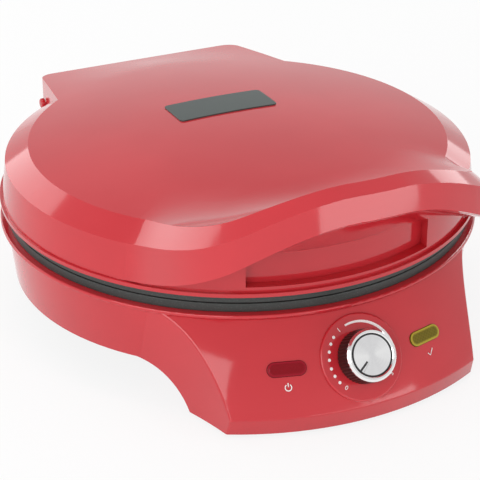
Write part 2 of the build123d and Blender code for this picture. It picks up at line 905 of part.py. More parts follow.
with BuildSketch(Plane.XY.offset(frame_top_z - 0.5)) as pocket_zone:
    Rectangle(2 * (pocket_half + skin_t), lip_r, align=(Align.CENTER, Align.MAX))
    Circle(pocket_r - skin_t, mode=Mode.SUBTRACT)

with BuildPart() as front_zone:
    extrude(to_extrude=brow_zone.sketch, amount=headroom)
    extrude(to_extrude=pocket_zone.sketch, amount=headroom)

with BuildPart() as lid_frame:
    add(frame_fill)
    add(brow_over, mode=Mode.INTERSECT)
    add(front_zone.part, mode=Mode.INTERSECT)
    add(brow_void.part, mode=Mode.SUBTRACT)
    add(pocket_void.part, mode=Mode.SUBTRACT)
    with BuildSketch(Plane.XY.offset(frame_low_z)):
        Circle(frame_r)
        Circle(frame_in_r, mode=Mode.SUBTRACT)
        with Locations(*plate_screw_spots):
            Circle(screw_hole_r, mode=Mode.SUBTRACT)
        with Locations(*lid_screw_spots):
            Circle(screw_hole_r, mode=Mode.SUBTRACT)
    extrude(amount=frame_top_z - frame_low_z)
lid_frame.part.label = "lid_frame"

# Lid screws, driven up through the frame into the shell's posts
with BuildPart() as lid_screws:
    add(screws(lid_screw_spots, frame_low_z, frame_low_z + lid_screw_len))
lid_screws.part.label = "lid_screws"

# Hinge pins, fast in the lid's tail and turning in the base's ears
with BuildPart() as hinge_pins:
    for side in (-1, 1):
        head_in = side * (tail_half + tail_splay * (tail_y - hinge_y + pin_head_r) + 0.1)
        with BuildSketch(Plane.YZ.offset(side * (ear_x - ear_w / 2 - 1.5))):
            with Locations((hinge_y, hinge_z)):
                Circle(hinge_pin_r)
        extrude(amount=head_in - side * (ear_x - ear_w / 2 - 1.5))
        with BuildSketch(Plane.YZ.offset(head_in)):
            with Locations((hinge_y, hinge_z)):
                Circle(pin_head_r)
        extrude(amount=side * pin_head_t)
    ends = hinge_pins.edges().filter_by(GeomType.CIRCLE).group_by(Axis.X)
    fillet(ends[0], pin_head_t * 0.5)
    ends = hinge_pins.edges().filter_by(GeomType.CIRCLE).group_by(Axis.X)
    fillet(ends[-1], pin_head_t * 0.5)
hinge_pins.part.label = "hinge_pins"

# Thermostat behind the panel, with its bush through the dial pad
with BuildPart() as thermostat:
    with BuildSketch(knob_plane.offset(-thermostat_front)):
        RectangleRounded(thermostat_w, thermostat_h, 3.0)
    extrude(amount=-thermostat_d)
    with BuildSketch(knob_plane.offset(-thermostat_front)):
        Circle(bush_r)
    extrude(amount=thermostat_front + dial_pad_up + bush_out)
    with BuildSketch(knob_plane.offset(dial_pad_up + bush_out)):
        Circle(shaft_r + run_gap)
    extrude(amount=-(dial_pad_up + bush_out + thermostat_front + thermostat_d * 0.6), mode=Mode.SUBTRACT)
thermostat.part.label = "thermostat"

with BuildPart() as thermostat_nut:
    with BuildSketch(knob_plane.offset(dial_pad_up)):
        RegularPolygon(nut_af / 2, 6, major_radius=False)
        Circle(bush_r, mode=Mode.SUBTRACT)
    extrude(amount=nut_t)
thermostat_nut.part.label = "thermostat_nut"

with BuildPart() as thermostat_shaft:
    with BuildSketch(knob_plane.offset(-(thermostat_front + thermostat_d * 0.6 - 0.5))):
        Circle(shaft_r)
    extrude(amount=thermostat_front + thermostat_d * 0.6 - 0.5 + knob_base + knob_hollow_h + 1.5)
thermostat_shaft.part.label = "thermostat_shaft"


def fluted(radius):
    """A round outline with fine flutes."""
    points = []
    for i in range(2 * knob_flutes):
        angle = radians(180.0 * i / knob_flutes)
        reach = radius - (flute_depth if i % 2 else 0.0)
        points.append((reach * cos(angle), reach * sin(angle)))
    return points


body_top = knob_top - ring_t
knob_top_r = knob_r - knob_h * tan(radians(knob_draft))
with BuildPart() as knob_body:
    with BuildSketch(knob_plane.offset(knob_base)) as knob_foot:
        with BuildLine():
            Polyline(fluted(knob_r), close=True)
        make_face()
    with BuildSketch(knob_plane.offset(body_top)) as knob_head:
        with BuildLine():
            Polyline(fluted(knob_top_r), close=True)
        make_face()
    loft([knob_foot.sketch.face(), knob_head.sketch.face()], ruled=True)
    with BuildSketch(knob_plane.offset(knob_base)):
        Circle(knob_hollow_r)
    extrude(amount=knob_hollow_h, mode=Mode.SUBTRACT)
    with BuildSketch(knob_plane.offset(dial_pad_up + bush_out + fit_gap)):
        Circle(knob_hub_r)
    extrude(amount=knob_base + knob_hollow_h - dial_pad_up - bush_out - fit_gap)
    with BuildSketch(knob_plane.offset(knob_base)):
        Circle(shaft_r)
    extrude(amount=knob_hollow_h + 1.5, mode=Mode.SUBTRACT)
knob_body.part.label = "knob_body"

with BuildPart() as knob_ring:
    with BuildSketch(knob_plane.offset(body_top)):
        Circle(knob_top_r)
        Circle(disc_r + disc_groove, mode=Mode.SUBTRACT)
    extrude(amount=ring_t)
    chamfer(knob_ring.faces().sort_by(knob_axis)[-1].edges().sort_by(SortBy.RADIUS)[-1], ring_edge)
    chamfer(knob_ring.faces().sort_by(knob_axis)[-1].edges().sort_by(SortBy.RADIUS)[0], ring_edge * 0.5)
knob_ring.part.label = "knob_ring"

with BuildPart() as knob_disc:
    with BuildSketch(knob_plane.offset(body_top)):
        Circle(disc_r)
    extrude(amount=disc_t)
    pointer_angle = 90.0 - pointer_clock
    pointer_mid = disc_r - pointer_len / 2
    with BuildSketch(knob_plane.offset(body_top + disc_t)):
        with Locations((pointer_mid * cos(radians(pointer_angle)), pointer_mid * sin(radians(pointer_angle)))):
            Rectangle(pointer_len, pointer_w, rotation=pointer_angle)
    extrude(amount=-pointer_depth, mode=Mode.SUBTRACT)
knob_disc.part.label = "knob_disc"


def lens_form(side):
    """A lamp window: a clear slot-shaped plug with a flange behind the panel."""
    plane = panel_plane(side * lamp_angle)
    with BuildPart() as lens:
        with BuildSketch(plane.offset(-lens_back)):
            SlotOverall(lens_len - fit_gap, lens_w - fit_gap)
        extrude(amount=lens_back + lens_up)
        fillet(lens.faces().sort_by(Axis(plane.origin, plane.z_dir))[-1].edges(), lens_up * 0.6)
        with BuildSketch(plane.offset(-lens_back)):
            SlotOverall(lens_len + 2 * lens_flange, lens_w + 2 * lens_flange)
        extrude(amount=-lens_flange_t)
    return lens.part


def lamp_form(side):
    """A small lamp that stands behind its window."""
    plane = panel_plane(side * lamp_angle)
    tip = lens_back + lens_flange_t + fit_gap
    with BuildPart() as lamp:
        with BuildSketch(plane.offset(-tip)):
            Circle(lamp_r)
        extrude(amount=-lamp_len)
        fillet(lamp.faces().sort_by(Axis(plane.origin, plane.z_dir))[-1].edges(), lamp_r * 0.6)
    return lamp.part


with BuildPart() as power_lens:
    add(lens_form(-1))
power_lens.part.label = "power_lens"

with BuildPart() as ready_lens:
    add(lens_form(1))
ready_lens.part.label = "ready_lens"

with BuildPart() as power_lamp:
    add(lamp_form(-1))
power_lamp.part.label = "power_lamp"

with BuildPart() as ready_lamp:
    add(lamp_form(1))
ready_lamp.part.label = "ready_lamp"

# Wiring parts: terminal block, cable gland in the rear wall, thermal fuse under the plate
with BuildPart() as terminal_block:
    with BuildSketch(Plane.XY.offset(floor_top_z)):
        with Locations((gland_x, hinge_y - terminal_w)):
            Rectangle(block_len, terminal_w)
    extrude(amount=terminal_h)
    with BuildSketch(Plane.XZ.offset(-hinge_y + terminal_w)):
        with GridLocations(block_len / terminal_bores, 1, terminal_bores, 1):
            with Locations((gland_x, floor_top_z + terminal_h / 2)):
                Circle(terminal_bore_r)
    extrude(amount=terminal_w, both=True, mode=Mode.SUBTRACT)
terminal_block.part.label = "terminal_block"

with BuildPart() as cable_gland:
    with BuildSketch(Plane.XZ.offset(-block_y)):
        with Locations((gland_x, gland_z)):
            Circle(gland_r - 0.1)
    extrude(amount=wall + 2.0)
    with BuildSketch(Plane.XZ.offset(-block_y)):
        with Locations((gland_x, gland_z)):
            Circle(gland_flange_r)
    extrude(amount=-gland_flange_t)
    with BuildSketch(Plane.XZ.offset(-block_y)):
        with Locations((gland_x, gland_z)):
            Circle(gland_bore_r)
    extrude(amount=4 * wall, both=True, mode=Mode.SUBTRACT)
cable_gland.part.label = "cable_gland"

with BuildPart() as thermal_fuse:
    with BuildSketch(Plane.YZ.offset(-fuse_len / 2)):
        with Locations((0, lower_back_z - tube_gap - fuse_r)):
            Circle(fuse_r)
    extrude(amount=fuse_len)
thermal_fuse.part.label = "thermal_fuse"

pieces = [
    base_housing,
    bottom_cover,
    foot_cover,
    lower_plate,
    lower_element,
    lower_clips,
    lower_reflector,
    lower_plate_screws,
    floor_screws,
    front_pads,
    rear_pads,
    thermostat,
    thermostat_nut,
    power_lens,
    ready_lens,
    power_lamp,
    ready_lamp,
    terminal_block,
    cable_gland,
    thermal_fuse,
    lid_cover,
    lid_frame,
    upper_plate,
    upper_element,
    upper_clips,
    upper_reflector,
    upper_plate_screws,
    lid_screws,
    hinge_pins,
    knob_body,
    knob_ring,
    knob_disc,
    thermostat_shaft,
]
for piece in pieces:
    export_step(piece.part, f"parts/{piece.part.label}.step")
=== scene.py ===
"""Looks for the electric pizza maker: camera, soft studio, finishes and the small printed parts."""

from math import asin, atan2, cos, degrees, pi, radians, sin, sqrt

import bmesh
import bpy
from mathutils import Matrix, Vector


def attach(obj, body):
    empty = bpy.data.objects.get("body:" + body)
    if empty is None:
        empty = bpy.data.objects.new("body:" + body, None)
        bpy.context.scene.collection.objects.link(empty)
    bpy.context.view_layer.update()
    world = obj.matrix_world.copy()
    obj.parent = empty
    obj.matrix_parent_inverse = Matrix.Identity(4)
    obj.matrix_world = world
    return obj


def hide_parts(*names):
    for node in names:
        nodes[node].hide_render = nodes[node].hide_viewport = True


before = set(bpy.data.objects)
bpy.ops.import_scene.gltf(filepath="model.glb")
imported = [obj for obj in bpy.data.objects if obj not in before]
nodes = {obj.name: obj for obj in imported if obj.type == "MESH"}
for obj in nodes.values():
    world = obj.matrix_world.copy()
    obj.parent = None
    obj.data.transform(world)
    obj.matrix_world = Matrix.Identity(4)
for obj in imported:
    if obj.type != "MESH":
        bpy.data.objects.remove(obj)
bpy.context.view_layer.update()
bpy.ops.object.select_all(action="DESELECT")

# Sizes shared with the part's source, in metres
PANEL_MID_R = 0.1885
PANEL_MID_Z = 0.043
PANEL_TILT = atan2(0.0352, 0.0548)
PAD_UP = 0.0004
PIN_HEAD_X = 0.0851
LAMP_ANGLE = degrees(asin(0.0504 / PANEL_MID_R))
LENS_HALF_LEN = 0.013
LENS_HALF_W = 0.005
DOME_EDGE_R = 0.1477
DOME_EDGE_Z = 0.1237
DOME_H = 0.0122

# The dial: its pointer's clock angle, the scale's radius, the disc's marks and its painted shade
# ring at the edge, and the barrel's marks
POINTER_CLOCK = 232.0
POINTER_HALF_W = 0.0007
POINTER_FROM = 0.0055
SHADE_RING_IN = 0.0128
SHADE_RING_OUT = 0.013
RIDGE_IN = 0.0166
RIDGE_OUT = 0.0176
DIAL_R = 0.0231

# Printed ink: its thickness, and how far it lies above the pad
INK_THICK = 0.00008
INK_UP = PAD_UP + 0.00005


# Shader maths as plain expressions


class Val:
    """A shader socket, or a number, that adds, multiplies and so on as nodes."""

    def __init__(self, paint, socket):
        self.paint = paint
        self.socket = socket

    def _do(self, operation, *others):
        return self.paint.node("ShaderNodeMath", {"operation": operation}, [self, *others])

    def __add__(self, other):
        return self._do("ADD", other)

    def __mul__(self, other):
        return self._do("MULTIPLY", other)

    def __sub__(self, other):
        return self._do("SUBTRACT", other)

    def __rsub__(self, other):
        return self.paint.node("ShaderNodeMath", {"operation": "SUBTRACT"}, [other, self])

    def __pow__(self, other):
        return self._do("POWER", other)

    __radd__ = __add__

    def above(self, edge):
        return self._do("GREATER_THAN", edge)

    def under(self, edge):
        return self._do("LESS_THAN", edge)

    def abs(self):
        return self._do("ABSOLUTE")

    def sin(self):
        return self._do("SINE")

    def low(self, other):
        return self._do("MINIMUM", other)

    def high(self, other):
        return self._do("MAXIMUM", other)

    def ramp(self, start, end, low=0.0, high=1.0):
        settings = {"clamp": True, "interpolation_type": "SMOOTHSTEP"}
        return self.paint.node("ShaderNodeMapRange", settings, [self, start, end, low, high])


class Paint:
    """One material, its nodes and its Principled shader."""

    def __init__(self, name, **fixed):
        self.material = bpy.data.materials.new(name)
        self.material.use_nodes = True
        self.tree = self.material.node_tree
        self.shader = self.tree.nodes["Principled BSDF"]
        for key, value in fixed.items():
            socket = key.replace("_", " ").title().replace("Ior", "IOR")
            self.shader.inputs[socket].default_value = value
        self.place = self.node("ShaderNodeTexCoord", {}, [], out="Object")

    def node(self, kind, settings, inputs, out=0):
        made = self.tree.nodes.new(kind)
        for key, value in settings.items():
            setattr(made, key, value)
        pairs = inputs.items() if isinstance(inputs, dict) else enumerate(inputs)
        for key, value in pairs:
            if isinstance(value, Val):
                self.tree.links.new(value.socket, made.inputs[key])
            elif value is not None:
                made.inputs[key].default_value = value
        return Val(self, made.outputs[out])

    def put(self, name, value):
        if isinstance(value, Val):
            self.tree.links.new(value.socket, self.shader.inputs[name])
        else:
            self.shader.inputs[name].default_value = value

    def noise(self, scale, detail=2.0, rough=0.5, place=None):
        inputs = {"Scale": scale, "Detail": detail, "Roughness": rough}
        return self.node("ShaderNodeTexNoise", {}, {"Vector": place or self.place, **inputs})

    def cells(self, scale):
        return self.node("ShaderNodeTexVoronoi", {}, {"Vector": self.place, "Scale": scale})

    def moved(self, location=(0, 0, 0), rotation=(0, 0, 0), scale=(1, 1, 1), kind="POINT"):
        inputs = {"Vector": self.place, "Location": location, "Rotation": rotation, "Scale": scale}
        return self.node("ShaderNodeMapping", {"vector_type": kind}, inputs)

    def axes(self, place=None):
        source = place or self.place
        split = self.tree.nodes.new("ShaderNodeSeparateXYZ")
        self.tree.links.new(source.socket, split.inputs[0])
        return [Val(self, split.outputs[i]) for i in range(3)]

    def mix(self, factor, first, second):
        made = self.tree.nodes.new("ShaderNodeMix")
        made.data_type = "RGBA"
        for index, value in ((0, factor), (6, first), (7, second)):
            if isinstance(value, Val):
                self.tree.links.new(value.socket, made.inputs[index])
            elif index:
                made.inputs[index].default_value = (*value, 1.0)
            else:
                made.inputs[index].default_value = value
        return Val(self, made.outputs[2])

    def bump(self, height, strength, distance):
        inputs = {"Strength": strength, "Distance": distance, "Height": height}
        self.put("Normal", self.node("ShaderNodeBump", {}, inputs))


def moulded_red(name, deep, bright):
    """Glossy moulded shell: red with faint flow marks, a fine skin and rubbing low down."""
    paint = Paint(name, specular_ior_level=0.5, coat_roughness=0.03, coat_ior=1.45)
    flow = paint.noise(9.0, 3.0).ramp(0.3, 0.7)
    grain = paint.noise(420.0, 2.0)
    x, y, z = paint.axes()
    worn = paint.noise(60.0, 4.0, 0.7).ramp(0.58, 0.72) * z.ramp(0.012, 0.002)
    skin = paint.mix(flow, deep, bright)
    paint.put("Base Color", paint.mix(worn * 0.35, skin, (0.28, 0.09, 0.08)))
    paint.put("Roughness", 0.07 + flow * 0.03 + grain * 0.03 + worn * 0.25)
    paint.put("Coat Weight", 0.2 - worn * 0.2)
    paint.bump(paint.noise(900.0, 2.0) * 0.5 + paint.noise(40.0, 1.0) * 2.0, 0.015, 0.0005)
    return paint.material


def coated_plate(name):
    """Dark non-stick coating on a cast plate, finely speckled and slightly spun."""
    paint = Paint(name, specular_ior_level=0.45)
    x, y, z = paint.axes()
    radius = (x * x + y * y) ** 0.5
    spun = (radius * 2600.0).sin() * 0.5 + 0.5
    speck = paint.cells(900.0).ramp(0.1, 0.32)
    baked = paint.noise(26.0, 4.0, 0.6).ramp(0.35, 0.75)
    tone = paint.mix(speck, (0.085, 0.092, 0.088), (0.034, 0.038, 0.036))
    browned = paint.mix(baked * radius.ramp(0.16, 0.12) * 0.5, tone, (0.055, 0.04, 0.03))
    paint.put("Base Color", browned)
    paint.put("Roughness", 0.36 + baked * 0.1 + speck * 0.05)
    paint.bump(spun * 0.35 + paint.noise(1300.0, 2.0), 0.12, 0.0003)
    return paint.material


def satin_black(name, tone, rough, grain_scale, grain_up):
    """Matt moulded plastic or rubber with a spark-eroded grain."""
    paint = Paint(name, specular_ior_level=0.4)
    grain = paint.noise(grain_scale, 3.0, 0.6)
    dust = paint.noise(30.0, 4.0, 0.65).ramp(0.5, 0.8)
    light = tuple(c * 1.8 + 0.012 for c in tone)
    paint.put("Base Color", paint.mix(dust * 0.5, tone, light))
    paint.put("Roughness", rough + grain * 0.15 - dust * 0.05)
    paint.bump(grain, grain_up, 0.0004)
    return paint.material


def drawn_metal(name, tone, stain, rough, along=(1, 1, 1)):
    """Sheet, screw or tube metal with fine drawing lines and a little staining."""
    paint = Paint(name, metallic=1.0)
    lines = paint.noise(700.0, 2.0, 0.6, paint.moved(scale=along))
    blot = paint.noise(22.0, 4.0, 0.6).ramp(0.45, 0.75)
    paint.put("Base Color", paint.mix(blot, tone, stain))
    paint.put("Roughness", rough + lines * 0.14 + blot * 0.08)
    paint.bump(lines, 0.08, 0.0002)
    return paint.material


def panel_space(paint, angle=0.0):
    """The place of a point in the panel's frame at an angle from the front: across, up and out."""
    a = radians(angle)
    turn = (pi / 2 - PANEL_TILT, 0, a)
    place = (PANEL_MID_R * sin(a), -PANEL_MID_R * cos(a), PANEL_MID_Z)
    return paint.moved(place, turn, (1, 1, 1), "TEXTURE")


def spun_face(name):
    """Circular brushed aluminium: fine rings, with soft light and dark wedges of painted reflection
    in its colour.
    """
    paint = Paint(name, metallic=1.0)
    x, y, z = paint.axes(panel_space(paint))
    radius = (x * x + y * y) ** 0.5
    angle = paint.node("ShaderNodeMath", {"operation": "ARCTAN2"}, [y, x])
    rings = paint.node("ShaderNodeCombineXYZ", {}, [radius * 5200.0, angle * 0.6, 0.0])
    line = paint.noise(1.0, 3.0, 0.7, rings)
    # Painted reflection: soft light and dark wedges around the centre, put into the base colour
    painted_reflection_wedge = ((angle * 2.0 + 1.5).sin() * 0.5 + 0.5) ** 2.0
    fine = ((angle * 11.0).sin() * 0.5 + 0.5) * 0.25
    light = (painted_reflection_wedge * 0.8 + fine * 0.4) * radius.ramp(0.0, 0.004)
    face_with_painted_reflection = paint.mix(light.low(1.0), (0.8, 0.8, 0.81), (0.98, 0.98, 0.98))
    worked = paint.mix(line.ramp(0.3, 0.75) * 0.22, face_with_painted_reflection, (0.5, 0.5, 0.5))
    a = radians(POINTER_CLOCK)
    along = x * sin(a) + y * cos(a)
    across = (x * cos(a) - y * sin(a)).abs()
    inked = across.under(POINTER_HALF_W) * along.above(POINTER_FROM)
    # Painted shade: the disc's outer edge is painted near black and not metallic, for the shaded
    # gap to the ring; dark holds this and the printed pointer
    shade_ring_mask = radius.ramp(SHADE_RING_IN, SHADE_RING_OUT)
    dark = inked.high(shade_ring_mask)
    paint.put("Base Color", paint.mix(dark, worked, (0.02, 0.02, 0.022)))
    paint.put("Metallic", 1.0 - dark)
    paint.put("Roughness", 0.27 + line * 0.1 + dark * 0.15)
    paint.bump(line, 0.16, 0.0002)
    return paint.material


def bright_ring(name):
    """Polished chrome ring with hairline polishing marks."""
    paint = Paint(name, metallic=1.0)
    x, y, z = paint.axes(panel_space(paint))
    radius = (x * x + y * y) ** 0.5
    hairlines = paint.node("ShaderNodeCombineXYZ", {}, [radius * 3000.0, z * 3000.0, 0.0])
    line = paint.noise(1.0, 2.0, 0.6, hairlines)
    paint.put("Base Color", paint.mix(line * 0.3, (0.9, 0.9, 0.9), (0.76, 0.76, 0.77)))
    paint.put("Roughness", 0.1 + line * 0.08)
    paint.bump(line, 0.05, 0.0001)
    return paint.material


def dark_barrel(name):
    """The dial's fluted barrel: dark smoked finish, paler on the ridges."""
    paint = Paint(name, specular_ior_level=0.3)
    x, y, z = paint.axes(panel_space(paint))
    radius = (x * x + y * y) ** 0.5
    ridge = radius.ramp(RIDGE_IN, RIDGE_OUT)
    smoke = paint.noise(160.0, 3.0)
    tone = paint.mix(ridge, (0.008, 0.002, 0.002), (0.05, 0.012, 0.011))
    paint.put("Base Color", paint.mix(smoke * 0.25, tone, (0.02, 0.006, 0.006)))
    paint.put("Metallic", 0.12 + ridge * 0.18)
    paint.put("Roughness", 0.34 + smoke * 0.12 - ridge * 0.06)
    paint.bump(smoke, 0.05, 0.0002)
    return paint.material


def dimmed(tone):
    return tuple(c * 0.4 for c in tone)


def lamp_window(name, side, deep, rim_highlight_tone, glow, strength):
    """A moulded lamp window: a deep colour, faintly faceted, with a painted highlight along its
    rim.
    """
    paint = Paint(name, specular_ior_level=0.15, coat_weight=0.1, coat_roughness=0.04)
    x, y, z = paint.axes(panel_space(paint, side * LAMP_ANGLE))
    past = (x.abs() - (LENS_HALF_LEN - LENS_HALF_W)).high(0.0)
    reach = (past * past + y * y) ** 0.5
    # Painted highlight: a paler band along the inner rim, where the window's bevel would catch the
    # light
    rim = reach.ramp(0.52 * LENS_HALF_W, 0.84 * LENS_HALF_W)
    edge = reach.ramp(0.88 * LENS_HALF_W, 0.98 * LENS_HALF_W)
    facet = (x * 2400.0).sin() * (y * 2400.0).sin()
    cloud = paint.noise(240.0, 2.0)
    painted_shine = facet.ramp(-0.7, 0.9) * 0.1 + cloud * 0.12 + rim * 0.6
    body = paint.mix(painted_shine, deep, rim_highlight_tone)
    paint.put("Base Color", paint.mix(edge * 0.8, body, dimmed(deep)))
    paint.put("Roughness", 0.08 + cloud * 0.08)
    paint.put("Emission Color", paint.mix(facet.ramp(-0.2, 1.0), glow, dimmed(glow)))
    paint.shader.inputs["Emission Strength"].default_value = strength
    paint.bump(facet * 0.08 - rim * 2.0, 0.3, 0.0005)
    return paint.material


def two_tone_pin(name):
    """The hinge pins: bare steel inside the ears, heads painted like the shell."""
    paint = Paint(name)
    x, y, z = paint.axes()
    head = x.abs().above(PIN_HEAD_X)
    lines = paint.noise(700.0, 2.0, 0.6)
    steel = paint.mix(lines, (0.6, 0.6, 0.6), (0.45, 0.43, 0.4))
    coat = paint.mix(lines, (0.5, 0.012, 0.022), (0.53, 0.016, 0.026))
    paint.put("Base Color", paint.mix(head, steel, coat))
    paint.put("Metallic", 1.0 - head)
    paint.put("Roughness", 0.24 + lines * 0.1 - head * 0.12)
    paint.bump(lines, 0.05, 0.0002)
    return paint.material


def pale_ceramic(name, tone, spot_tone):
    """Pale moulded or fired insulating body with faint specks."""
    paint = Paint(name, specular_ior_level=0.4)
    speck = paint.cells(700.0).ramp(0.05, 0.2)
    cloud = paint.noise(90.0, 3.0)
    paint.put("Base Color", paint.mix(speck * 0.9, spot_tone, tone))
    paint.put("Roughness", 0.45 + cloud * 0.2)
    paint.bump(cloud, 0.08, 0.0004)
    return paint.material


def clear_lamp(name):
    """The little lamp: pale glass over a warm core."""
    paint = Paint(name, specular_ior_level=0.8, coat_weight=0.8)
    cloud = paint.noise(300.0, 2.0)
    paint.put("Base Color", paint.mix(cloud, (0.85, 0.62, 0.4), (0.95, 0.9, 0.8)))
    paint.put("Roughness", 0.08 + cloud * 0.1)
    paint.bump(cloud, 0.05, 0.0003)
    return paint.material


def white_ink(name):
    """Pad-printed white ink, thinning slightly at random."""
    paint = Paint(name, specular_ior_level=0.3)
    thin = paint.noise(1500.0, 2.0, 0.7).ramp(0.35, 0.75)
    paint.put("Base Color", paint.mix(thin, (0.86, 0.8, 0.79), (0.96, 0.95, 0.94)))
    paint.put("Roughness", 0.4 + thin * 0.15)
    paint.bump(thin, 0.05, 0.0001)
    return paint.material


def badge_metal(name, tone, edge):
    """The bare badge: dark satin plate with fine brushing along its length."""
    paint = Paint(name, metallic=0.55)
    line = paint.noise(500.0, 2.0, 0.6, paint.moved(scale=(0.12, 3.0, 1.0)))
    cloud = paint.noise(70.0, 3.0)
    paint.put("Base Color", paint.mix(line * 0.6 + cloud * 0.2, tone, edge))
    paint.put("Roughness", 0.34 + line * 0.14)
    paint.bump(line, 0.08, 0.0002)
    return paint.material


red = moulded_red("gloss_red_shell", (0.51, 0.021, 0.03), (0.56, 0.027, 0.037))
frame_red = moulded_red("gloss_red_frame", (0.49, 0.02, 0.029), (0.54, 0.026, 0.036))
plate_coat = coated_plate("plate_coating")
floor_black = satin_black("floor_plastic", (0.018, 0.018, 0.02), 0.5, 500.0, 0.25)
pad_rubber = satin_black("pad_rubber", (0.014, 0.014, 0.014), 0.7, 300.0, 0.4)
gland_rubber = satin_black("gland_rubber", (0.012, 0.012, 0.012), 0.6, 420.0, 0.3)
element_metal = drawn_metal("element_sheath", (0.2, 0.19, 0.18), (0.12, 0.1, 0.1), 0.38)
sheet_metal = drawn_metal("sheet_metal", (0.74, 0.74, 0.72), (0.6, 0.56, 0.5), 0.24, (0.1, 1, 1))
screw_metal = drawn_metal("screw_metal", (0.6, 0.6, 0.6), (0.45, 0.43, 0.4), 0.24)
turned_brass = drawn_metal("turned_brass", (0.72, 0.52, 0.22), (0.5, 0.34, 0.14), 0.22, (1, 1, 0.1))
fuse_sleeve = drawn_metal("fuse_sleeve", (0.7, 0.7, 0.69), (0.55, 0.53, 0.5), 0.3)
thermostat_pale = pale_ceramic("thermostat_body", (0.66, 0.61, 0.5), (0.5, 0.45, 0.36))
terminal_pale = pale_ceramic("terminal_body", (0.76, 0.76, 0.72), (0.62, 0.62, 0.58))
# The second colour of each window is its painted rim highlight
red_window = lamp_window(
    "red_window", -1, (0.19, 0.001, 0.006), (0.3, 0.006, 0.02), (0.5, 0.0, 0.02), 0.04
)
green_window = lamp_window(
    "green_window", 1, (0.09, 0.07, 0.002), (0.55, 0.44, 0.05), (0.45, 0.4, 0.02), 0.03
)
pin_finish = two_tone_pin("pin_finish")
lamp_glass = clear_lamp("lamp_glass")
chrome = bright_ring("dial_chrome")
disc_face = spun_face("dial_face")
barrel = dark_barrel("dial_barrel")
ink = white_ink("white_ink")
badge_dark = badge_metal("badge_plate", (0.075, 0.09, 0.085), (0.11, 0.13, 0.125))

finishes = {
    "base_housing": red,
    "lid_cover": red,
    "lid_frame": frame_red,
    "lower_plate": plate_coat,
    "upper_plate": plate_coat,
    "bottom_cover": floor_black,
    "foot_cover": floor_black,
    "front_pads": pad_rubber,
    "rear_pads": pad_rubber,
    "lower_element": element_metal,
    "upper_element": element_metal,
    "lower_clips": sheet_metal,
    "upper_clips": sheet_metal,
    "lower_reflector": sheet_metal,
    "upper_reflector": sheet_metal,
    "lower_plate_screws": screw_metal,
    "upper_plate_screws": screw_metal,
    "floor_screws": screw_metal,
    "lid_screws": screw_metal,
    "hinge_pins": pin_finish,
    "thermostat": thermostat_pale,
    "thermostat_nut": turned_brass,
    "thermostat_shaft": turned_brass,
    "terminal_block": terminal_pale,
    "cable_gland": gland_rubber,
    "thermal_fuse": fuse_sleeve,
    "power_lens": red_window,
    "ready_lens": green_window,
    "power_lamp": lamp_glass,
    "ready_lamp": lamp_glass,
    "knob_body": barrel,
    "knob_ring": chrome,
    "knob_disc": disc_face,
}
for name, material in finishes.items():
    mesh = nodes[name].data
    mesh.materials.clear()
    mesh.materials.append(material)


# Helpers for the new pieces


def finish_piece(piece, name, body, material):
    """Names a piece, puts its place in its mesh, and makes it ride on its body."""
    piece.name = name
    piece.data.name = name
    piece.data.transform(piece.matrix_basis)
    piece.matrix_basis = Matrix.Identity(4)
    piece.data.materials.clear()
    piece.data.materials.append(material)
    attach(piece, body)
    piece.select_set(False)


def linked(name, data):
    """A new object with this mesh, curve, light or camera, linked to the scene."""
    made = bpy.data.objects.new(name, data)
    bpy.context.scene.collection.objects.link(made)
    return made


def make_active(piece):
    bpy.context.view_layer.objects.active = piece
    piece.select_set(True)


def apply_all(piece):
    bpy.context.view_layer.objects.active = piece
    for modifier in list(piece.modifiers):
        bpy.ops.object.modifier_apply(modifier=modifier.name)


def panel_matrix(angle, across=0.0, up=0.0, out=0.0, turn=0.0):
    """A place on the panel's tangent plane at an angle from the front, facing out."""
    a = radians(angle)
    right = Vector((cos(a), sin(a), 0))
    facing = Vector((sin(a) * cos(PANEL_TILT), -cos(a) * cos(PANEL_TILT), sin(PANEL_TILT)))
    rise = facing.cross(right)
    origin = Vector((PANEL_MID_R * sin(a), -PANEL_MID_R * cos(a), PANEL_MID_Z))
    place = Matrix((right, rise, facing)).transposed().to_4x4()
    place.translation = origin + right * across + rise * up + facing * out
    return place @ Matrix.Rotation(turn, 4, "Z")


def printed_text(words, size, matrix):
    """Printed characters as a thin mesh, centred on their place."""
    bpy.ops.object.text_add()
    piece = bpy.context.object
    piece.data.body = words
    piece.data.size = size
    piece.data.align_x = "CENTER"
    piece.data.align_y = "CENTER"
    piece.data.extrude = 0.5 * INK_THICK
    bpy.ops.object.convert(target="MESH")
    piece = bpy.context.object
    piece.data.transform(matrix)
    return piece


# Camera, placed by the fit of the photo: its axes, place and lens
CAMERA_RIGHT = Vector((0.9058, -0.4237, 0.0))
CAMERA_UP = Vector((0.1928, 0.4122, 0.8905))
CAMERA_BACK = Vector((-0.3773, -0.8066, 0.4551))
CAMERA_PLACE = Vector((-0.4850, -1.0407, 0.6268))
camera_data = bpy.data.cameras.new("camera")
camera = linked("camera", camera_data)
camera_data.sensor_width = 36.0
camera_data.lens = 132.63
camera_data.clip_start = 0.05
camera_data.clip_end = 20.0
stand = Matrix((CAMERA_RIGHT, CAMERA_UP, CAMERA_BACK)).transposed().to_4x4()
stand.translation = CAMERA_PLACE
camera.matrix_world = stand
bpy.context.scene.camera = camera
bpy.context.scene.view_settings.view_transform = "Standard"

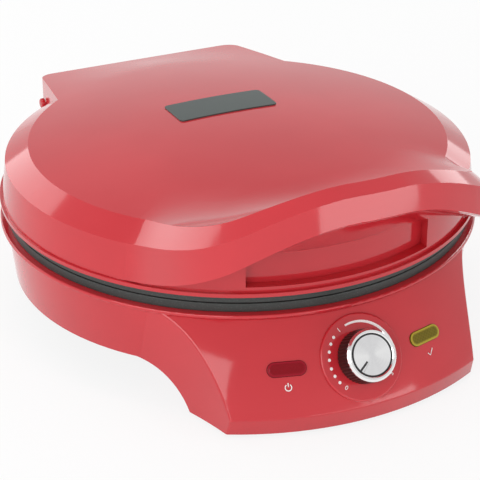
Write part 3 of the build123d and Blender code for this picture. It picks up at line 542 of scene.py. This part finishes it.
# Studio: pale floor that keeps the shadow, white surround, soft boxes
bpy.ops.mesh.primitive_plane_add(size=6.0, location=(0, 0, -0.0002))
floor = bpy.context.object
floor.name = "studio_floor"
floor_paint = Paint("studio_paper", specular_ior_level=0.1)
floor_tone = floor_paint.noise(3.0, 2.0)
floor_paint.put("Base Color", floor_paint.mix(floor_tone, (0.86, 0.86, 0.86), (0.88, 0.88, 0.88)))
floor_paint.put("Roughness", 0.8 + floor_tone * 0.1)
floor.data.materials.append(floor_paint.material)
floor_glow = floor_paint.node("ShaderNodeEmission", {}, {"Color": (1, 1, 1, 1), "Strength": 1.0})
floor_path = floor_paint.tree.nodes.new("ShaderNodeLightPath")
seen, mirrored, through = [
    Val(floor_paint, floor_path.outputs[f"Is {ray} Ray"])
    for ray in ("Camera", "Glossy", "Transmission")
]
lit = Val(floor_paint, floor_paint.shader.outputs[0])
share = (seen + mirrored + through) * 0.85
shown = floor_paint.node("ShaderNodeMixShader", {}, [share, lit, floor_glow])
surface = floor_paint.tree.nodes["Material Output"].inputs["Surface"]
floor_paint.tree.links.new(shown.socket, surface)
floor.select_set(False)

# The surround: its light on the object, its white, and how gloss sees it, less bright overhead
FILL = 0.68
WHITE = 1.0
fall_values = {"From Min": 0.3, "From Max": 0.85, "To Min": 0.85, "To Max": 0.6}
world = bpy.data.worlds.new("studio")
bpy.context.scene.world = world
world.use_nodes = True
tree = world.node_tree
path = tree.nodes.new("ShaderNodeLightPath")
layer = tree.nodes["Background"]
layer.inputs[0].default_value = (1, 1, 1, 1)
layer.inputs[1].default_value = FILL
direction = tree.nodes.new("ShaderNodeTexCoord")
split = tree.nodes.new("ShaderNodeSeparateXYZ")
tree.links.new(direction.outputs["Generated"], split.inputs[0])
fall = tree.nodes.new("ShaderNodeMapRange")
for socket, value in fall_values.items():
    fall.inputs[socket].default_value = value
tree.links.new(split.outputs[2], fall.inputs["Value"])
for ray in ("Glossy", "Transmission", "Camera"):
    shade = tree.nodes.new("ShaderNodeBackground")
    shade.inputs[0].default_value = (1, 1, 1, 1)
    shade.inputs[1].default_value = WHITE
    if ray == "Glossy":
        tree.links.new(fall.outputs[0], shade.inputs[1])
    blend = tree.nodes.new("ShaderNodeMixShader")
    tree.links.new(path.outputs[f"Is {ray} Ray"], blend.inputs[0])
    tree.links.new(layer.outputs[0], blend.inputs[1])
    tree.links.new(shade.outputs[0], blend.inputs[2])
    layer = blend
tree.links.new(layer.outputs[0], tree.nodes["World Output"].inputs[0])

# The soft lights' common aim
AIM = Vector((0, 0, 0.1))


def softbox(name, around, above, reach, width, height, glow, along=None):
    """A soft light by its bearing from the front, its height angle, its size and brightness."""
    a, e = radians(around), radians(above)
    toward = Vector((sin(a) * cos(e), -cos(a) * cos(e), sin(e)))
    across = Vector(along) if along else Vector((0, 0, 1)).cross(toward)
    across = (across - toward * across.dot(toward)).normalized()
    turn = Matrix((across, toward.cross(across), toward)).transposed().to_4x4()
    turn.translation = AIM + toward * reach
    data = bpy.data.lights.new(name, "AREA")
    data.shape = "RECTANGLE"
    data.size = width
    data.size_y = height
    data.energy = glow * pi * width * height
    light = linked(name, data)
    light.matrix_world = turn
    light.visible_camera = False


softbox("top_box", -30.0, 82.8, 1.6, 0.85, 0.25, 6.0, (0.73, -0.68, 0))
softbox("left_key_box", -56.0, 20.5, 1.7, 1.6, 1.0, 2.5)
softbox("back_left_box", -158.0, 26.5, 1.6, 0.98, 0.83, 1.9)
softbox("back_right_box", 122.0, 17.0, 1.5, 0.5, 0.5, 1.8)
softbox("low_front_box", 17.0, -4.0, 0.75, 0.52, 0.11, 2.8)

# The dial's barrel: fluted skirt, hollow underneath, hub on the shaft
BORE_R, BORE_TOP = 0.003, 0.0127
HUB_R, HUB_LOW = 0.0055, 0.0043
HOLLOW_R, HOLLOW_TOP = 0.0125, 0.0112
SKIRT_LOW_R, SKIRT_LOW = 0.0177, 0.0012
SKIRT_TOP_R, SKIRT_TOP = 0.01725, 0.0145
SKIRT_EASE_R, SKIRT_EASE = 0.0169, 0.0004
FLUTES = 48
FLUTE_HALF_DEPTH = 0.00025
FLUTED_FROM_R = 0.016
profile = (
    (0.0, BORE_TOP),
    (BORE_R, BORE_TOP),
    (BORE_R, HUB_LOW),
    (HUB_R, HUB_LOW),
    (HUB_R, HOLLOW_TOP),
    (HOLLOW_R, HOLLOW_TOP),
    (HOLLOW_R, SKIRT_LOW),
    (SKIRT_LOW_R, SKIRT_LOW),
    (SKIRT_TOP_R, SKIRT_TOP - SKIRT_EASE),
    (SKIRT_EASE_R, SKIRT_TOP),
    (0.0, SKIRT_TOP),
)
skirt = bmesh.new()
corners = [skirt.verts.new((r, 0.0, w)) for r, w in profile]
chain = [skirt.edges.new(pair) for pair in zip(corners, corners[1:])]
bmesh.ops.spin(
    skirt,
    geom=corners + chain,
    cent=(0, 0, 0),
    axis=(0, 0, 1),
    angle=2 * pi,
    steps=4 * FLUTES,
    use_duplicate=False,
)
bmesh.ops.remove_doubles(skirt, verts=skirt.verts, dist=0.000005)
for vert in skirt.verts:
    reach = sqrt(vert.co.x**2 + vert.co.y**2)
    if reach > FLUTED_FROM_R:
        swing = FLUTE_HALF_DEPTH * (cos(FLUTES * atan2(vert.co.y, vert.co.x)) - 1.0)
        vert.co.x *= 1.0 + swing / reach
        vert.co.y *= 1.0 + swing / reach
bmesh.ops.recalc_face_normals(skirt, faces=skirt.faces)
skirt_mesh = bpy.data.meshes.new("dial_barrel")
skirt.to_mesh(skirt_mesh)
skirt.free()
skirt_mesh.transform(panel_matrix(0.0))
dial_barrel = linked("dial_barrel", skirt_mesh)
make_active(dial_barrel)
bpy.ops.object.shade_smooth_by_angle(angle=radians(35.0))
finish_piece(dial_barrel, "dial_barrel", "knob", barrel)
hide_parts("knob_body")

# Dial print on the pad: numbers, dots and the widening arc, by their clock angles
NUMBERS = {"0": 223.0, "1": 330.0, "5": 130.0}
NUMBER_SIZE = 0.0042
DOT_CLOCKS = (237.0, 250.0, 263.0, 277.0, 290.0, 303.0, 315.0)
DOT_R = 0.00105
ARC_FROM, ARC_SWEEP, ARC_STEPS = 343.0, 115.0, 48
ARC_HALF_START, ARC_HALF_GROWTH = 0.00065, 0.0005


def dial_place(clock, radius=DIAL_R):
    a = radians(90.0 - clock)
    return radius * cos(a), radius * sin(a)


for words, clock in NUMBERS.items():
    px, py = dial_place(clock)
    upright = -clock if clock > 270.0 else 180.0 - clock
    spot = panel_matrix(0.0, px, py, INK_UP, radians(upright))
    mark = printed_text(words, NUMBER_SIZE, spot)
    finish_piece(mark, f"dial_number_{words}", "base", ink)

bpy.ops.mesh.primitive_cylinder_add(vertices=24, radius=DOT_R, depth=INK_THICK)
dot = bpy.context.object
bpy.ops.object.mode_set(mode="EDIT")
bpy.ops.mesh.select_all(action="SELECT")
bpy.ops.mesh.bevel(offset=0.00003, segments=1)
bpy.ops.object.mode_set(mode="OBJECT")
dot_mesh = dot.data
for number, clock in enumerate(DOT_CLOCKS):
    px, py = dial_place(clock)
    piece = linked("dial_dot", dot_mesh.copy()) if number else dot
    piece.data = dot_mesh.copy()
    piece.data.transform(panel_matrix(0.0, px, py, INK_UP))
    finish_piece(piece, f"dial_dot_{number}", "base", ink)

shape = bmesh.new()
rails = []
for i in range(ARC_STEPS + 1):
    part = i / ARC_STEPS
    half = ARC_HALF_START + ARC_HALF_GROWTH * part
    row = []
    for radius in (DIAL_R - half, DIAL_R + half):
        px, py = dial_place(ARC_FROM + ARC_SWEEP * part, radius)
        row.append(shape.verts.new((px, py, 0)))
    rails.append(row)
for first, second in zip(rails, rails[1:]):
    shape.faces.new((first[0], second[0], second[1], first[1]))
bmesh.ops.recalc_face_normals(shape, faces=shape.faces)
swell = linked("dial_arc", bpy.data.meshes.new("dial_arc"))
shape.to_mesh(swell.data)
shape.free()
thick = swell.modifiers.new("thick", "SOLIDIFY")
thick.thickness = INK_THICK
thick.offset = 0.0
apply_all(swell)
swell.data.transform(panel_matrix(0.0, 0, 0, INK_UP))
finish_piece(swell, "dial_arc", "base", ink)

# Bare badge on the dome: a thin dark plate that follows the crown
BADGE_HALF_W = 0.0376
BADGE_HALF_D = 0.0161
BADGE_CORNER = 0.003
BADGE_MID_Y = 0.0292
BADGE_THICK = 0.0011
STATIONS = 36
LANES = 10


def crown(x, y):
    return DOME_EDGE_Z + DOME_H * (1.0 - (x * x + y * y) / DOME_EDGE_R**2)


def badge_sheet():
    """An open sheet of quads with rounded corners, laid on the crown."""
    sheet = bmesh.new()
    rows = []
    for i in range(STATIONS + 1):
        x = -BADGE_HALF_W * cos(pi * i / STATIONS)
        past = max(abs(x) - (BADGE_HALF_W - BADGE_CORNER), 0.0)
        reach = BADGE_HALF_D - BADGE_CORNER + sqrt(max(BADGE_CORNER**2 - past * past, 0.0))
        row = []
        for j in range(LANES + 1):
            y = BADGE_MID_Y + reach * (2.0 * j / LANES - 1.0)
            row.append(sheet.verts.new((x, y, crown(x, y))))
        rows.append(row)
    for first, second in zip(rows, rows[1:]):
        for j in range(LANES):
            sheet.faces.new((first[j], second[j], second[j + 1], first[j + 1]))
    mesh = bpy.data.meshes.new("badge")
    sheet.to_mesh(mesh)
    sheet.free()
    return linked("badge", mesh)


badge = badge_sheet()
body = badge.modifiers.new("body", "SOLIDIFY")
body.thickness = BADGE_THICK
body.offset = 0.8
rim = badge.modifiers.new("rim", "BEVEL")
rim.width = 0.00025
rim.segments = 2
rim.limit_method = "ANGLE"
rim.angle_limit = radians(50.0)
apply_all(badge)
finish_piece(badge, "badge", "lid", badge_dark)

# Plain signs under the lamps: a switch sign and a tick
SIGN_DROP = -0.0118
SIGN_LINE_R = 0.00035
SIGN_UP = 0.00002
SWITCH_R = 0.0021
SWITCH_GAP = 70.0
SWITCH_STEPS = 24


def sign_strip(name, points, angle):
    """A printed line of even width along points on the panel, below a lamp."""
    curve = bpy.data.curves.new(name, "CURVE")
    curve.dimensions = "3D"
    curve.bevel_depth = SIGN_LINE_R
    curve.bevel_resolution = 1
    line = curve.splines.new("POLY")
    line.points.add(len(points) - 1)
    for point, (u, v) in zip(line.points, points):
        point.co = (u, v, 0.0, 1.0)
    make_active(linked(name, curve))
    bpy.ops.object.convert(target="MESH")
    made = bpy.context.object
    flat = Matrix.Diagonal((1.0, 1.0, 0.25, 1.0))
    made.data.transform(panel_matrix(angle, 0.0, SIGN_DROP, SIGN_UP) @ flat)
    finish_piece(made, name, "base", ink)


ring_points = []
for i in range(SWITCH_STEPS + 1):
    a = radians(90.0 + SWITCH_GAP / 2 + (360.0 - SWITCH_GAP) * i / SWITCH_STEPS)
    ring_points.append((SWITCH_R * cos(a), SWITCH_R * sin(a)))
sign_strip("switch_sign_ring", ring_points, -LAMP_ANGLE)
sign_strip("switch_sign_bar", [(0.0, 0.0004), (0.0, 0.0029)], -LAMP_ANGLE)
sign_strip("tick_sign", [(-0.0024, 0.0002), (-0.0008, -0.0016), (0.0026, 0.0022)], LAMP_ANGLE)
